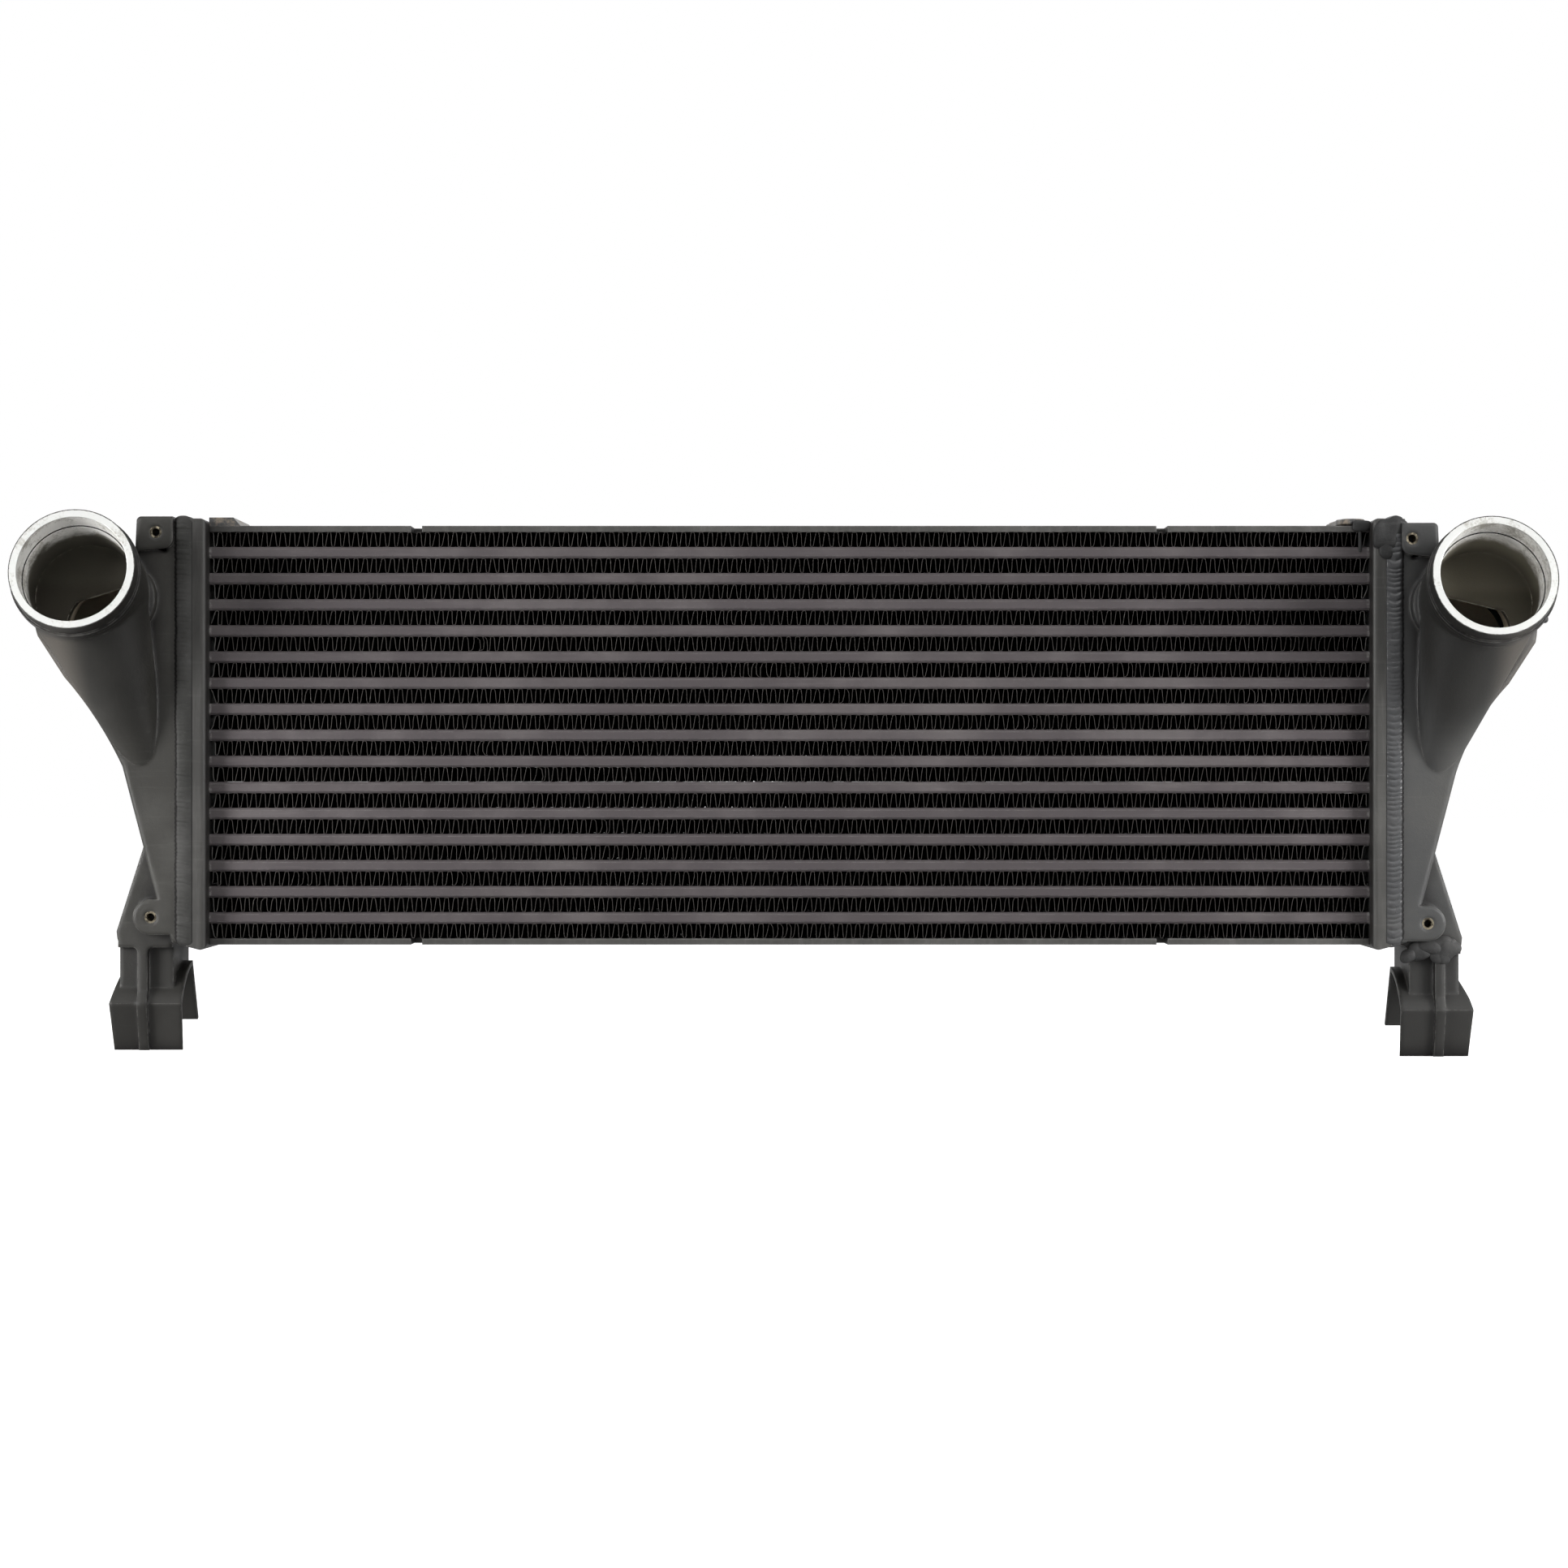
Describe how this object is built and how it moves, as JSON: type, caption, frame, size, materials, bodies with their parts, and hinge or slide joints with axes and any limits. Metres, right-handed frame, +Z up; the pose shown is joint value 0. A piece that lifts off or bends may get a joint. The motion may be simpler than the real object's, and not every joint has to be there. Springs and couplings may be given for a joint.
{
  "type": "intercooler",
  "caption": "Wide bar-and-plate intercooler: finned tube core, welded end tanks with upward-tilted round hose ports, threaded lugs and saddle feet.",
  "frame": {"origin": "the middle of the core: half way between the headers, between the side plates and between the core's front and back faces", "axes": "+X along the core from the longer-reaching left port to the right port, +Y from the port side to the back, +Z up with the feet below"},
  "size_m": [0.9357, 0.1486, 0.3365],
  "materials": {
    "core_paint": "satin black paint on brazed aluminium, slightly purplish grey",
    "fin_coating": "thin overspray of black paint on aluminium foil",
    "turbulator_foil": "bare brazed foil",
    "tank_paint": "satin black paint on sand-cast aluminium, bare and machined at the port faces and bores",
    "weld_paint": "semi-gloss black paint over weld ripples",
    "insert_metal": "bright plated"
  },
  "bodies": {
    "root": {"bottom_side_plate": "core_paint", "charge_tube_01": "core_paint", "charge_tube_02": "core_paint", "charge_tube_03": "core_paint", "charge_tube_04": "core_paint", "charge_tube_05": "core_paint", "charge_tube_06": "core_paint", "charge_tube_07": "core_paint", "charge_tube_08": "core_paint", "charge_tube_09": "core_paint", "charge_tube_10": "core_paint", "charge_tube_11": "core_paint", "charge_tube_12": "core_paint", "charge_tube_13": "core_paint", "charge_tube_14": "core_paint", "charge_tube_15": "core_paint", "left_corner_weld": "weld_paint", "left_header": "core_paint", "left_tank": "tank_paint", "left_tank_weld": "weld_paint", "outer_fin_01": "fin_coating", "outer_fin_02": "fin_coating", "outer_fin_03": "fin_coating", "outer_fin_04": "fin_coating", "outer_fin_05": "fin_coating", "outer_fin_06": "fin_coating", "outer_fin_07": "fin_coating", "outer_fin_08": "fin_coating", "outer_fin_09": "fin_coating", "outer_fin_10": "fin_coating", "outer_fin_11": "fin_coating", "outer_fin_12": "fin_coating", "outer_fin_13": "fin_coating", "outer_fin_14": "fin_coating", "outer_fin_15": "fin_coating", "outer_fin_16": "fin_coating", "right_corner_weld": "weld_paint", "right_foot": "tank_paint", "right_foot_weld": "weld_paint", "right_header": "core_paint", "right_tank": "tank_paint", "right_tank_weld": "weld_paint", "threaded_inserts": "insert_metal", "top_side_plate": "core_paint", "turbulator_01": "turbulator_foil", "turbulator_02": "turbulator_foil", "turbulator_03": "turbulator_foil", "turbulator_04": "turbulator_foil", "turbulator_05": "turbulator_foil", "turbulator_06": "turbulator_foil", "turbulator_07": "turbulator_foil", "turbulator_08": "turbulator_foil", "turbulator_09": "turbulator_foil", "turbulator_10": "turbulator_foil", "turbulator_11": "turbulator_foil", "turbulator_12": "turbulator_foil", "turbulator_13": "turbulator_foil", "turbulator_14": "turbulator_foil", "turbulator_15": "turbulator_foil"}
  },
  "joints": []
}
